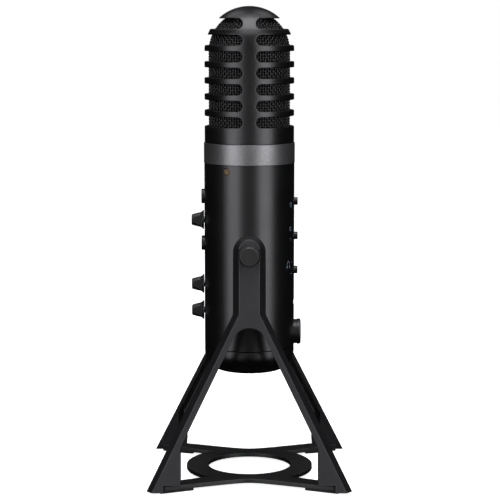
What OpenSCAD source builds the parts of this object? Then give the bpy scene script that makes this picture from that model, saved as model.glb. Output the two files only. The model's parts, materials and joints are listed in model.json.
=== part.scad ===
// Desktop microphone on a tilting A-frame stand.
// Millimetres. +Z is up and the origin is on the table under the microphone's axis.
// The controls face -X, the sockets face +X, and the two side arms stand at -Y and +Y.

/* [Microphone body] */
// Outside radius of the main tube
body_r = 28.5; // [28.2:0.1:28.6]
// Wall thickness of the main tube
body_wall = 2.2; // [1.8:0.1:2.4]
// Height of the seam between bottom cup and tube
seam_z = 82.8; // [82:0.1:83]
// Top of the tube, where the trim band starts
tube_top_z = 199.4; // [199:0.1:200]
// Outside radius of the trim band
band_r = 28.72; // [28.6:0.01:28.8]
// Top of the trim band
band_top_z = 212.05; // [211.5:0.05:213]

/* [Head] */
// Outside radius of the grille
grille_r = 28.2; // [28:0.1:28.4]
// Wall thickness of the grille
grille_wall = 2; // [1.8:0.1:2.2]
// Bottom edge of the lowest slot
slot_first_z = 222.55; // [222:0.05:223]
// Height of one slot
slot_h = 6.4; // [6:0.1:6.6]
// Distance from one slot to the next
slot_pitch = 10.1; // [10:0.05:10.2]
// Number of slots up the head
slot_count = 7; // [5:1:7]
// Width of the upright spine between the slot ends
spine_w = 8.6; // [8:0.1:10]
// Outside radius of the mesh basket
mesh_r = 25.6; // [25.2:0.1:25.8]
// Diameter of the capsule
capsule_d = 34; // [30:1:36]

/* [Controls and sockets] */
// Height of the upper button
upper_button_z = 178; // [177:0.1:179]
// Height of the lower button
lower_button_z = 148.2; // [147:0.1:149]
// Radius of a button
button_r = 4.65; // [4.4:0.05:4.8]
// Travel of a button
button_travel = 0.8; // [0.5:0.1:0.8]
// Height of the upper knob
upper_knob_z = 163; // [162.5:0.1:163.5]
// Height of the middle knob
middle_knob_z = 121.9; // [121:0.1:123]
// Height of the lower knob
lower_knob_z = 105; // [104:0.1:106]
// Outside radius of the collar round each small socket
collar_r = 2.45; // [2.4:0.05:2.6]
// Bore radius of a small socket
small_bore_r = 1.78; // [1.76:0.01:1.8]
// Bore radius of the large socket
large_bore_r = 3.22; // [3.2:0.01:3.3]
// Bore radius of the stand thread in the bottom
stand_thread_r = 7.45; // [7.4:0.05:7.5]
// Radius of the large socket's collar
large_collar_r = 8.15; // [8:0.05:8.3]

/* [Stand] */
// Height of the tilt axis above the table
pivot_z = 145.5; // [145:0.1:146]
// Angle by which the arms lean outward
arm_lean = 9.65; // [9.5:0.05:9.8]
// Thickness of an arm
arm_t = 11.5; // [11:0.1:12]
// Inset of the arm's outer edge from inner to outer face
arm_draft = 3.9; // [3.5:0.1:4]
// Inner radius of the base ring
ring_in_r = 26.6; // [26:0.1:27]
// Outer radius of the base ring
ring_out_r = 40.5; // [40:0.1:41]
// Thickness of the base plate
plate_t = 2.7; // [2.5:0.1:2.7]
// Thickness of the rubber pads
pad_t = 1.6; // [1.5:0.05:1.6]

/* [Hidden] */
$fn = 96;
eps = 0.01;

body_in_r = body_r - body_wall;
seat_gap = 0.05;
dome_c_z = 269.1;
knob_zs = [upper_knob_z, middle_knob_z, lower_knob_z];
button_zs = [upper_button_z, lower_button_z];

// Arm outline in its own leaning plane: x across, v up the slope, zero at arm_ref_z.
arm_ref_z = 145;
arm_in_y = 28.4;
head_r = 10.3;
head_v = 1.42;
leg_slope = 0.4889;
leg_x0 = -8.157;
kink_v = (leg_x0 - head_r) / leg_slope;
foot_v = -146.9;
notch_v = (pad_t + plate_t - arm_ref_z) / cos(arm_lean);
inner_slope = 0.4848;
inner_x0 = -15.73;
arch_r = 10.75;
arch_v = -57.09;
gusset_x = 42.15;
relief_y = 28.95;
pocket_depth = 4.5;
notch_inner_x = 57.5;
notch_slope = 0.435;
screw_x = 50.5;
screw_y = 54.3;
spot_out_y = 39.2;
spot_in_y = 29.55;

// Base plate: the long edges follow a hyperbola, so that they dip smoothly at the middle.
plate_z = pad_t;
edge_c = 36;
edge_a = 2.75;
edge_s = 0.41;
ring_meet_angle = 52;
plate_out_corner = [54.65, plate_edge_y(54.65)];
plate_in_corner = [58.87, 49];

function leg_x(v) = leg_x0 - leg_slope * v;
function inner_x(v) = inner_x0 - inner_slope * v;
function inner_v(x) = (inner_x0 - x) / inner_slope;
function plate_edge_y(x) = edge_c + sqrt(edge_a * edge_a + edge_s * edge_s * x * x);

// A cylinder along +X that starts at x.
module along_x(r, x, len, z = 0, y = 0) {
    translate([x, y, z]) rotate([0, 90, 0]) cylinder(r = r, h = len);
}

// A cylinder along +Y that starts at y.
module along_y(r, y, len, z = 0, x = 0) {
    translate([x, y, z]) rotate([-90, 0, 0]) cylinder(r = r, h = len);
}

// A round ring standing on z.
module ring(r_out, r_in, z, h) {
    translate([0, 0, z]) difference() {
        cylinder(r = r_out, h = h);
        translate([0, 0, -eps]) cylinder(r = r_in, h = h + 2 * eps);
    }
}

// Both sides of the object, mirrored in the plane between the arms.
module both_sides() {
    children();
    mirror([0, 1, 0]) children();
}

// All four corners of the base.
module four_corners() {
    both_sides() {
        children();
        mirror([1, 0, 0]) children();
    }
}

// ---------------------------------------------------------------- stand

// One quarter of the plate's outline: ring, inner edge of an arm, its end and its long edge.
function quarter_outline() = concat(
    [for (a = [0:4:ring_meet_angle]) ring_out_r * [cos(a), sin(a)]],
    [plate_in_corner],
    [for (i = [16:-1:1]) [plate_out_corner[0] * i / 16, plate_edge_y(plate_out_corner[0] * i / 16)]]);

module base_plate() {
    quarter = quarter_outline();
    last = len(quarter) - 1;
    color("#2a2a2b") difference() {
        translate([0, 0, plate_z]) linear_extrude(plate_t) polygon(concat(
            quarter,
            [[0, plate_edge_y(0)]],
            [for (i = [last:-1:0]) [-quarter[i][0], quarter[i][1]]],
            [for (i = [1:last]) [-quarter[i][0], -quarter[i][1]]],
            [[0, -plate_edge_y(0)]],
            [for (i = [last:-1:1]) [quarter[i][0], -quarter[i][1]]]));
        translate([0, 0, plate_z - 1]) cylinder(r = ring_in_r, h = plate_t + 2, $fn = 128);
        four_corners() translate([screw_x, screw_y, plate_z - eps]) {
            cylinder(r = 1.35, h = plate_t + 2 * eps);
            cylinder(r1 = 2.2, r2 = 1.35, h = 0.9);
        }
    }
}

module foot_pads() {
    pad_x = 34.3;
    pad_inset = 0.2;
    inner_x = [38.1, 44];
    inner_y = [40.9, 42.3];
    color("#151516") four_corners() linear_extrude(pad_t) polygon([
        [pad_x, plate_edge_y(pad_x) - pad_inset],
        [plate_out_corner[0] - pad_inset, plate_out_corner[1] - pad_inset],
        [plate_in_corner[0] - 2 * pad_inset, plate_in_corner[1] + pad_inset],
        [inner_x[1], inner_y[1]],
        [inner_x[0], inner_y[0]]]);
}

module arm_screws() {
    color("#8c8c8e") four_corners() translate([screw_x, screw_y, 0]) {
        translate([0, 0, pad_t + 0.1]) cylinder(r1 = 2, r2 = 1.25, h = 0.85);
        translate([0, 0, pad_t + 0.9]) cylinder(r = 1.25, h = 10);
    }
}

// The opening between the legs: a round arch, straight inner edges and upright gussets.
module arch_opening() {
    slant = sqrt(1 + inner_slope * inner_slope);
    tangent = [arch_r / slant, arch_v + arch_r * inner_slope / slant];
    translate([0, 0, -1]) linear_extrude(arm_t + 2) union() {
        translate([0, arch_v]) circle(r = arch_r);
        polygon([tangent, [gusset_x, inner_v(gusset_x)], [gusset_x, foot_v - 1],
                 [-gusset_x, foot_v - 1], [-gusset_x, inner_v(gusset_x)], [-tangent[0], tangent[1]]]);
    }
}

// Everything outside the sloping outer side of the +X leg.
module leg_side_cut() {
    leg_angle = atan(leg_slope);
    translate([head_r, kink_v, 0]) rotate([0, 0, leg_angle])
        rotate([0, -atan(arm_draft * cos(leg_angle) / arm_t), 0])
            translate([0, -200, -60]) cube([160, 300, 160]);
}

// Both legs as one tapering plate, before the opening is cut.
module leg_plate() {
    difference() {
        translate([-75, foot_v, 0]) cube([150, -25 - foot_v, arm_t]);
        leg_side_cut();
        mirror([1, 0, 0]) leg_side_cut();
    }
}

// The upright neck above the legs, with the same sloping sides.
module neck() {
    bottom_v = -50;
    translate([0, head_v, 0]) rotate([90, 0, 0]) linear_extrude(head_v - bottom_v) polygon([
        [-head_r, 0], [head_r, 0], [head_r - arm_draft, arm_t], [arm_draft - head_r, arm_t]]);
}

// The long pocket in the inner face of one leg.
module leg_pocket() {
    strip = 3;
    lip = 6.2;
    top_v = -54;
    wall_x = 47.5;
    lip_x = 43.6;
    end_v = -139;
    translate([0, 0, -5]) linear_extrude(5 + pocket_depth) polygon([
        [leg_x(top_v) - strip, top_v],
        [wall_x, (leg_x0 - strip - wall_x) / leg_slope],
        [wall_x, end_v],
        [lip_x, end_v],
        [lip_x, (leg_x0 - lip - lip_x) / leg_slope],
        [leg_x(top_v) - lip, top_v]]);
}

// The step in both feet that the plate fits, square to the leaning plane.
module foot_notch() {
    in_t = -2;
    out_t = arm_t + 2;
    in_x = notch_inner_x - notch_slope * in_t;
    out_x = notch_inner_x - notch_slope * out_t;
    translate([0, notch_v, 0]) rotate([90, 0, 0]) linear_extrude(30)
        polygon([[-in_x, in_t], [in_x, in_t], [out_x, out_t], [-out_x, out_t]]);
}

// One arm in its leaning plane, inner face at height zero.
module arm_blank() {
    difference() {
        union() {
            leg_plate();
            neck();
            translate([0, head_v, 0])
                cylinder(r1 = head_r + 0.2, r2 = head_r + 0.2 - arm_draft, h = arm_t);
        }
        arch_opening();
        foot_notch();
        leg_pocket();
        mirror([1, 0, 0]) leg_pocket();
    }
}

module side_arm() {
    difference() {
        translate([0, -arm_in_y, arm_ref_z]) rotate([90 - arm_lean, 0, 0]) arm_blank();
        translate([-100, -relief_y, 0]) cube([200, 2 * relief_y, 200]);
        along_y(3.3, -60, 40, pivot_z);
        along_y(7.2, -spot_in_y, 10, pivot_z);
        along_y(6.9, -60, 60 - spot_out_y, pivot_z);
        for (sx = [-1, 1]) translate([sx * screw_x, -screw_y, 0]) cylinder(r = 1.3, h = 14.5);
    }
}

module right_arm() {
    color("#38383a") side_arm();
}

module left_arm() {
    color("#38383a") mirror([0, 1, 0]) side_arm();
}

module tilt_washers() {
    color("#1b1b1c") both_sides() difference() {
        along_y(7, -spot_in_y + eps, 0.65, pivot_z);
        along_y(3.3, -spot_in_y - 1, 4, pivot_z);
    }
}

// ---------------------------------------------------------------- microphone body

screw_angle = -30.3;
screw_z = 195.4;

// Places children on the two screw positions, pointing inward along +Y.
module at_housing_screws() {
    for (turn = [0, 180]) rotate([0, 0, screw_angle + turn]) translate([0, -body_r, screw_z])
        rotate([-90, 0, 0]) children();
}

module housing_tube() {
    color("#1c1c1e") difference() {
        ring(body_r, body_in_r, seam_z, tube_top_z - seam_z, $fn = 160);
        for (z = button_zs) along_x(button_r + 0.1, -40, 20, z);
        for (z = knob_zs) along_x(3.6, -40, 20, z);
        for (z = small_socket_zs) along_x(collar_r + seat_gap, 20, 20, z);
        along_x(7.8 + seat_gap, 20, 20, large_socket_z);
        usb_slot(4.6 + seat_gap, 1.7 + seat_gap, 20, 12);
        along_x(1.05, -40, 20, light_z);
        along_y(6.6, -40, 80, pivot_z);
        at_housing_screws() {
            translate([0, 0, -2]) cylinder(r = 1.4, h = 8);
            translate([0, 0, -2]) cylinder(r = 2.15, h = 3.2);
        }
    }
}

module trim_band() {
    spigot_r = body_in_r - seat_gap;
    color("#8a8a88") difference() {
        union() {
            ring(band_r, body_in_r - 2, tube_top_z, band_top_z - tube_top_z, $fn = 160);
            ring(spigot_r, body_in_r - 2, 190.5, tube_top_z - 190.5 + eps);
            ring(grille_r - grille_wall - seat_gap, body_in_r - 2, band_top_z - eps, 3);
        }
        at_housing_screws() translate([0, 0, -1]) cylinder(r = 1.1, h = 8);
    }
}

module grille_profile() {
    difference() {
        union() {
            translate([0, band_top_z]) square([grille_r, dome_c_z - band_top_z]);
            intersection() {
                translate([0, dome_c_z]) circle(r = grille_r, $fn = 160);
                translate([0, dome_c_z]) square([grille_r, grille_r + 1]);
            }
        }
        translate([-1, band_top_z - 1])
            square([grille_r - grille_wall + 1, dome_c_z - band_top_z + 1]);
        intersection() {
            translate([0, dome_c_z]) circle(r = grille_r - grille_wall, $fn = 160);
            translate([-1, dome_c_z - eps]) square([grille_r + 1, grille_r]);
        }
        translate([-5, band_top_z - 1]) square([5, 100]);
    }
}

// One slot on the -X half of the head, cut straight through from front to back.
module head_slot(z) {
    end_r = slot_h / 2;
    x_in = spine_w / 2 + end_r;
    rotate([90, 0, 0]) translate([0, 0, -40]) linear_extrude(80) {
        translate([-x_in, z + end_r]) circle(r = end_r);
        translate([-40, z]) square([40 - x_in, slot_h]);
    }
}

module head_grille() {
    color("#232324") difference() {
        rotate_extrude($fn = 160) grille_profile();
        for (i = [0:slot_count - 1]) {
            head_slot(slot_first_z + i * slot_pitch);
            mirror([1, 0, 0]) head_slot(slot_first_z + i * slot_pitch);
        }
    }
}

// A thin bell: straight wall from z up, with a round top.
module bell(r, wall, z) {
    rotate_extrude() difference() {
        union() {
            translate([0, z]) square([r, dome_c_z - z]);
            intersection() {
                translate([0, dome_c_z]) circle(r = r);
                translate([0, dome_c_z - eps]) square([r, r + 1]);
            }
        }
        translate([-1, z - 1]) square([r - wall + 1, dome_c_z - z + 1]);
        intersection() {
            translate([0, dome_c_z]) circle(r = r - wall);
            translate([-1, dome_c_z - 2 * eps]) square([r + 1, r]);
        }
        translate([-5, z - 1]) square([5, 100]);
    }
}

module mesh_basket() {
    color("#4a4a4c") bell(mesh_r, 0.7, 216);
}

module foam_liner() {
    color("#111112") bell(mesh_r - 0.8, 2, 217.5);
}

module capsule() {
    cap_z = 252;
    color("#b08d4a") difference() {
        along_x(capsule_d / 2, -6, 12, cap_z);
        along_x(capsule_d / 2 - 3.5, -7, 2.2, cap_z);
        along_x(capsule_d / 2 - 3.5, 4.8, 2.2, cap_z);
    }
}

module capsule_mount() {
    color("#202022") difference() {
        union() {
            translate([0, 0, 213.5]) cylinder(r = body_in_r - 2 - seat_gap, h = 2.5);
            translate([-4, -12, 215]) cube([8, 24, 24.5]);
        }
        along_x(capsule_d / 2 + seat_gap, -10, 20, 252);
        translate([0, 0, 210]) cylinder(r = 2.5, h = 10);
    }
}

cup_groove = 0.35;
cup_wall = 2.4;
cup_bottom_z = 67.1;
insert_r = 10;

// Half section of the cup: a flat bottom and an elliptical shoulder up to the seam.
module cup_outline(top_z, inset) {
    shoulder_w = 11.2;
    shoulder_h = 12.5;
    r = body_r - inset;
    bottom = cup_bottom_z + inset;
    shoulder = [for (a = [0:7.5:90])
        [r - shoulder_w + shoulder_w * cos(a), bottom + shoulder_h * (1 - sin(a))]];
    polygon(concat([[0, top_z], [r, top_z]], shoulder, [[0, bottom]]));
}

module bottom_cup() {
    color("#1c1c1e") difference() {
        union() {
            rotate_extrude($fn = 160) difference() {
                cup_outline(seam_z - cup_groove, 0);
                cup_outline(seam_z, cup_wall);
            }
            ring(body_in_r - seat_gap, body_in_r - 2, seam_z - cup_groove - 2, 2.75);
        }
        translate([0, 0, cup_bottom_z - 1]) cylinder(r = insert_r + seat_gap, h = 10);
    }
}

module stand_insert() {
    color("#a98642") difference() {
        union() {
            translate([0, 0, cup_bottom_z + 0.4]) cylinder(r = insert_r, h = 9);
            translate([0, 0, cup_bottom_z + cup_wall + seat_gap]) cylinder(r = insert_r + 3, h = 2);
        }
        translate([0, 0, cup_bottom_z - 1]) cylinder(r = stand_thread_r, h = 9);
    }
}

module chassis() {
    rail_y = 15.5;
    color("#6c6e70") {
        difference() {
            union() {
                translate([0, 0, 83.2]) cylinder(r = body_in_r - 2.1, h = 2.5);
                translate([0, 0, 187.4]) cylinder(r = body_in_r - 2.1, h = 2.5);
                for (sy = [-1, 1]) translate([-4, sy * rail_y - 2, 85]) cube([8, 4, 103]);
            }
            translate([0, 0, 80]) cylinder(r = 8, h = 120);
        }
    }
}

board_x = 13;
board_w = 30;
board_z0 = 86.2;
board_h = 100.6;

module main_board() {
    color("#1d5a3a") {
        translate([board_x, -board_w / 2, board_z0]) cube([1.6, board_w, board_h]);
        translate([board_x - 1.2, -7, 139]) cube([1.25, 14, 14]);
        translate([board_x - 1, -5, 118]) cube([1.05, 10, 7]);
        translate([board_x - 2.2, -12, 100]) cube([2.25, 6, 6]);
        translate([board_x - 2.2, 6, 100]) cube([2.25, 6, 6]);
    }
}

module control_board() {
    color("#1d5a3a") {
        translate([-board_x - 1.6, -board_w / 2, board_z0]) cube([1.6, board_w, board_h]);
        translate([-board_x - 0.05, -4, 130]) cube([1.2, 8, 8]);
    }
}

// ---------------------------------------------------------------- sockets

small_socket_zs = [174.85, 152.85, 130.95];
large_socket_z = 91.07;
usb_z = 110.5;
light_z = 187.9;
board_face_x = board_x + 1.6;

// A 3.5 mm jack: a square case on the board with a round collar through the tube.
module small_jack(z) {
    color("#2b2b2d") difference() {
        union() {
            translate([board_face_x, -3.25, z - 3]) cube([11.3, 6.5, 6]);
            along_x(collar_r, board_face_x + 11, 30.65 - board_face_x - 11, z);
        }
        along_x(small_bore_r, 18, 20, z);
    }
}

module upper_jack() {
    small_jack(small_socket_zs[0]);
}

module middle_jack() {
    small_jack(small_socket_zs[1]);
}

module monitor_jack() {
    small_jack(small_socket_zs[2]);
}

module instrument_jack() {
    edge_r = 1;
    collar_x = 30.3;
    case_len = 9.7;
    face_x = 32.8;
    color("#1a1a1b") difference() {
        union() {
            translate([board_face_x, -6.6, large_socket_z - 4.6]) cube([case_len, 13.2, 11]);
            along_x(7.8, board_face_x + case_len - eps, collar_x - board_face_x - case_len + 2 * eps,
                    large_socket_z);
            translate([collar_x, 0, large_socket_z]) rotate([0, 90, 0]) rotate_extrude() {
                square([large_collar_r - edge_r, face_x - collar_x]);
                square([large_collar_r, face_x - collar_x - edge_r]);
                translate([large_collar_r - edge_r, face_x - collar_x - edge_r]) circle(r = edge_r, $fn = 32);
            }
        }
        along_x(large_bore_r, 16.5, 30, large_socket_z);
    }
}

// A rounded flat slot along +X for the USB inlet.
module usb_slot(half_w, half_h, x, len) {
    translate([x, 0, usb_z]) rotate([90, 0, 90]) linear_extrude(len) {
        square([2 * (half_w - half_h), 2 * half_h], center = true);
        for (s = [-1, 1]) translate([s * (half_w - half_h), 0]) circle(r = half_h, $fn = 48);
    }
}

module usb_socket() {
    color("#9c9ca0") difference() {
        usb_slot(4.6, 1.7, board_face_x, 28.1 - board_face_x);
        difference() {
            usb_slot(4.2, 1.3, 20.5, 12);
            translate([20, -3.3, usb_z - 0.35]) cube([7, 6.6, 0.7]);
        }
    }
}

module pivot_inserts() {
    flange_y = body_r + 0.35;
    color("#9a9a9c") both_sides() difference() {
        union() {
            along_y(6.5, -flange_y, 4.4, pivot_z);
            along_y(5, -flange_y + 4.3, 5.5, pivot_z);
            translate([-7, -flange_y + 3.6, pivot_z - 9]) cube([14, 1.6, 18]);
        }
        along_y(3, -40, 22.5, pivot_z);
    }
}

module housing_screws() {
    color("#9a7b3c") at_housing_screws() difference() {
        union() {
            translate([0, 0, 0.25]) cylinder(r = 1.8, h = 0.9);
            translate([0, 0, 1]) cylinder(r = 1, h = 5);
        }
        translate([0, 0, -0.5]) cylinder(r = 0.8, h = 1.3, $fn = 6);
    }
}

// ---------------------------------------------------------------- controls

board_front_x = -board_x - 1.6;

module potentiometers() {
    color("#3a3a3c") for (z = knob_zs) difference() {
        union() {
            translate([board_front_x - 6, -5.5, z - 5.5]) cube([6, 11, 11]);
            along_x(3.5, -25.2, 25.2 + board_front_x - 5, z);
        }
        along_x(2.05, -26, 8, z);
    }
}

module tactile_switches() {
    color("#2f2f31") for (z = button_zs) {
        translate([board_front_x - 3.6, -3, z - 3]) cube([3.6, 6, 6]);
        along_x(1.7, board_front_x - 4.6, 1.1, z);
    }
}

module status_light() {
    color("#9fc6d8") {
        along_x(1, -28.35, 2.3, light_z);
        along_x(1.6, -26.1, 1.5, light_z);
    }
}

// Half section of a knob: skirt, concave flare, grip and rounded end. Height runs outward.
module knob_profile() {
    skirt_r = 6.05;
    grip_r = 4.5;
    len = 7.8;
    edge_r = 0.9;
    end_r = 3.6;
    flare = [for (t = [0:0.125:1]) [grip_r + (skirt_r - grip_r) * pow(1 - t, 2.2), 0.5 + 3 * t]];
    corner = [for (a = [0:15:90]) [end_r - edge_r + edge_r * cos(a), len - edge_r + edge_r * sin(a)]];
    polygon(concat([[0, 0], [skirt_r, 0]], flare, corner, [[0, len]]));
}

knob_back_x = -28.85;
knob_flat_y = 3.4;
shaft_r = 2;

module knob(z) {
    color("#1e1e20") difference() {
        translate([knob_back_x, 0, z]) rotate([0, -90, 0]) rotate_extrude() knob_profile();
        for (sy = [-1, 1]) translate([-40, sy * (knob_flat_y + 4) - 4, z - 8]) cube([9.8, 8, 16]);
        along_x(shaft_r + 0.02, -33.5, 6, z);
    }
}

module shaft(z) {
    color("#8f8f92") difference() {
        along_x(shaft_r, -33.4, 14.4, z);
        translate([-34, -3, z + 1.3]) cube([4.5, 6, 3]);
    }
}

module upper_knob() {
    knob(upper_knob_z);
}

module middle_knob() {
    knob(middle_knob_z);
}

module lower_knob() {
    knob(lower_knob_z);
}

module upper_shaft() {
    shaft(upper_knob_z);
}

module middle_shaft() {
    shaft(middle_knob_z);
}

module lower_shaft() {
    shaft(lower_knob_z);
}

module button(z) {
    edge_r = 0.5;
    face_x = -30.35;
    color("#2a2a2c") {
        translate([face_x, 0, z]) rotate([0, 90, 0]) rotate_extrude() {
            translate([0, edge_r]) square([button_r, 5.9]);
            square([button_r - edge_r, 1]);
            translate([button_r - edge_r, edge_r]) circle(r = edge_r, $fn = 32);
        }
        along_x(5.3, -25.1, 1.2, z);
        along_x(1.6, -24, 24 + board_front_x - 4.6 - 0.1 - button_travel, z);
    }
}

module upper_button() {
    button(upper_button_z);
}

module lower_button() {
    button(lower_button_z);
}

// ---------------------------------------------------------------- clamp knobs

module clamp_knob() {
    rear_y = 39.3;
    front_y = 50;
    rear_r = 6.5;
    front_r = 6;
    grooves = 28;
    color("#3c3c3e") {
        difference() {
            translate([0, -rear_y, pivot_z]) rotate([90, 0, 0]) union() {
                cylinder(r = rear_r, h = 1.7);
                translate([0, 0, 1.6]) cylinder(r1 = rear_r, r2 = front_r + 0.1, h = front_y - rear_y - 2.2);
                translate([0, 0, front_y - rear_y - 0.65]) cylinder(r1 = front_r + 0.1, r2 = front_r - 0.5, h = 0.65);
            }
            for (i = [0:grooves - 1]) translate([0, 0, pivot_z]) rotate([0, i * 360 / grooves, 0])
                along_y(0.42, -front_y - 1, front_y - rear_y - 1, 0, rear_r - 0.05);
        }
        along_y(2.95, -rear_y - eps, rear_y - 20, pivot_z);
    }
}

module right_clamp_knob() {
    clamp_knob();
}

module left_clamp_knob() {
    mirror([0, 1, 0]) clamp_knob();
}

base_plate();
right_arm();
left_arm();
foot_pads();
arm_screws();
tilt_washers();
housing_tube();
trim_band();
head_grille();
mesh_basket();
foam_liner();
capsule();
capsule_mount();
bottom_cup();
stand_insert();
chassis();
main_board();
control_board();
upper_jack();
middle_jack();
monitor_jack();
instrument_jack();
usb_socket();
pivot_inserts();
housing_screws();
potentiometers();
tactile_switches();
status_light();
right_clamp_knob();
left_clamp_knob();
upper_knob();
middle_knob();
lower_knob();
upper_shaft();
middle_shaft();
lower_shaft();
upper_button();
lower_button();
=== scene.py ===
"""Looks of a desktop microphone on a tilting A-frame stand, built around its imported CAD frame."""

import json
import logging
import math
from collections.abc import Sequence
from dataclasses import dataclass
from enum import Enum

import bmesh
import bpy
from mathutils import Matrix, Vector, noise

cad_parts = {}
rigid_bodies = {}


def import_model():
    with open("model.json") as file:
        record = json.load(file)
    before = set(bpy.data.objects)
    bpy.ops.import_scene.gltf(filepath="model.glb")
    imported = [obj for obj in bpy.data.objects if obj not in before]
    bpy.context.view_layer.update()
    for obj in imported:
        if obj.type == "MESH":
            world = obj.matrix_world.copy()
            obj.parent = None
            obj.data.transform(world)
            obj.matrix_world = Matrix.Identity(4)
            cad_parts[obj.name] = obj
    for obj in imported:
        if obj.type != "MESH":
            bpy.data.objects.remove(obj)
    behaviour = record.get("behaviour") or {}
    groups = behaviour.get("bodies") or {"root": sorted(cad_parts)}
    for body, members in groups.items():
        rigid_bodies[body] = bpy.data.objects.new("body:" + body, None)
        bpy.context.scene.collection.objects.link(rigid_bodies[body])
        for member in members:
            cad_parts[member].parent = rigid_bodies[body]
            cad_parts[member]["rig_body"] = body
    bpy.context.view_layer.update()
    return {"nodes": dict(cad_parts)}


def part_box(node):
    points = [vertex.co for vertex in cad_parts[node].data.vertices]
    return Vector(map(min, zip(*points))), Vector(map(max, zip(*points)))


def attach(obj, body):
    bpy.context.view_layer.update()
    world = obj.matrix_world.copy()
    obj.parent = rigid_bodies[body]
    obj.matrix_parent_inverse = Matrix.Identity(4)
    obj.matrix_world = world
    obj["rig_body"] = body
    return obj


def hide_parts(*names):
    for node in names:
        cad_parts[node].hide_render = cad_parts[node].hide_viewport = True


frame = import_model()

LOG = logging.getLogger("desktop_microphone")
MM = 0.001
WELD = 2e-6
FLAT_ANGLE = math.radians(0.5)


class Body(Enum):
    """The moving bodies that a piece can ride on."""

    STAND = "stand"
    MICROPHONE = "microphone"


# ---------------------------------------------------------------- shader groups


class NodeLayout:
    """Short calls for wiring nodes in one tree."""

    def __init__(self, tree: bpy.types.NodeTree) -> None:
        """Keeps the tree that the calls work on.

        Args:
            tree: The node tree.
        """
        self.tree = tree

    def add(self, kind: str, **settings: object) -> bpy.types.Node:
        """Adds one node.

        Args:
            kind: Blender's name of the node type.
            settings: Properties to set on the node.

        Returns:
            The new node.
        """
        node = self.tree.nodes.new(kind)
        for key, value in settings.items():
            setattr(node, key, value)
        return node

    def link(self, source: bpy.types.NodeSocket, target: bpy.types.NodeSocket) -> None:
        """Joins an output to an input.

        Args:
            source: The output.
            target: The input.
        """
        self.tree.links.new(source, target)

    def put(self, value: object, target: bpy.types.NodeSocket) -> None:
        """Links a socket, or sets a number, on an input.

        Args:
            value: Socket or number.
            target: The input.
        """
        if isinstance(value, bpy.types.NodeSocket):
            self.link(value, target)
        else:
            target.default_value = value

    def maths(self, operation: str, a: object, b: object = 0.0, clamp: bool = False) -> bpy.types.NodeSocket:
        """Adds a maths node.

        Args:
            operation: Blender's name of the operation.
            a: First number or socket.
            b: Second number or socket.
            clamp: Whether the result stays from 0 to 1.

        Returns:
            The result's socket.
        """
        node = self.add("ShaderNodeMath", operation=operation, use_clamp=clamp)
        self.put(a, node.inputs[0])
        self.put(b, node.inputs[1])
        return node.outputs[0]

    def noise(self, vector: object, scale: object, detail: float = 2.0, rough: float = 0.55) -> bpy.types.NodeSocket:
        """Adds a noise texture.

        Args:
            vector: Socket with the place.
            scale: Number or socket with the noise scale, per metre.
            detail: Octaves.
            rough: Share of the finer octaves.

        Returns:
            The noise value's socket.
        """
        node = self.add("ShaderNodeTexNoise")
        self.put(vector, node.inputs["Vector"])
        self.put(scale, node.inputs["Scale"])
        node.inputs["Detail"].default_value = detail
        node.inputs["Roughness"].default_value = rough
        return node.outputs["Fac"]

    def spread(self, value: object, low: float, high: float, to_low: object, to_high: object) -> bpy.types.NodeSocket:
        """Maps a span of values to another, held at its ends.

        Args:
            value: Socket with the value.
            low: Value that gives to_low.
            high: Value that gives to_high.
            to_low: Result at low.
            to_high: Result at high.

        Returns:
            The mapped value's socket.
        """
        node = self.add("ShaderNodeMapRange")
        self.put(value, node.inputs["Value"])
        node.inputs["From Min"].default_value = low
        node.inputs["From Max"].default_value = high
        self.put(to_low, node.inputs["To Min"])
        self.put(to_high, node.inputs["To Max"])
        return node.outputs["Result"]


def new_group(
    name: str, inputs: dict[str, float | None], outputs: Sequence[str]
) -> tuple[bpy.types.NodeTree, NodeLayout, object, object]:
    """Starts a shader node group with its sockets.

    Args:
        name: Name of the group.
        inputs: Input names with default numbers, or None for a vector.
        outputs: Names of the number outputs.

    Returns:
        The group, its layout, and the sockets that bring values in and take results out.
    """
    group = bpy.data.node_groups.new(name, "ShaderNodeTree")
    for label, default in inputs.items():
        kind = "NodeSocketVector" if default is None else "NodeSocketFloat"
        socket = group.interface.new_socket(label, in_out="INPUT", socket_type=kind)
        if default is not None:
            socket.default_value = default
    for label in outputs:
        group.interface.new_socket(label, in_out="OUTPUT", socket_type="NodeSocketFloat")
    source = group.nodes.new("NodeGroupInput").outputs
    result = group.nodes.new("NodeGroupOutput").inputs
    return group, NodeLayout(group), source, result


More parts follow.
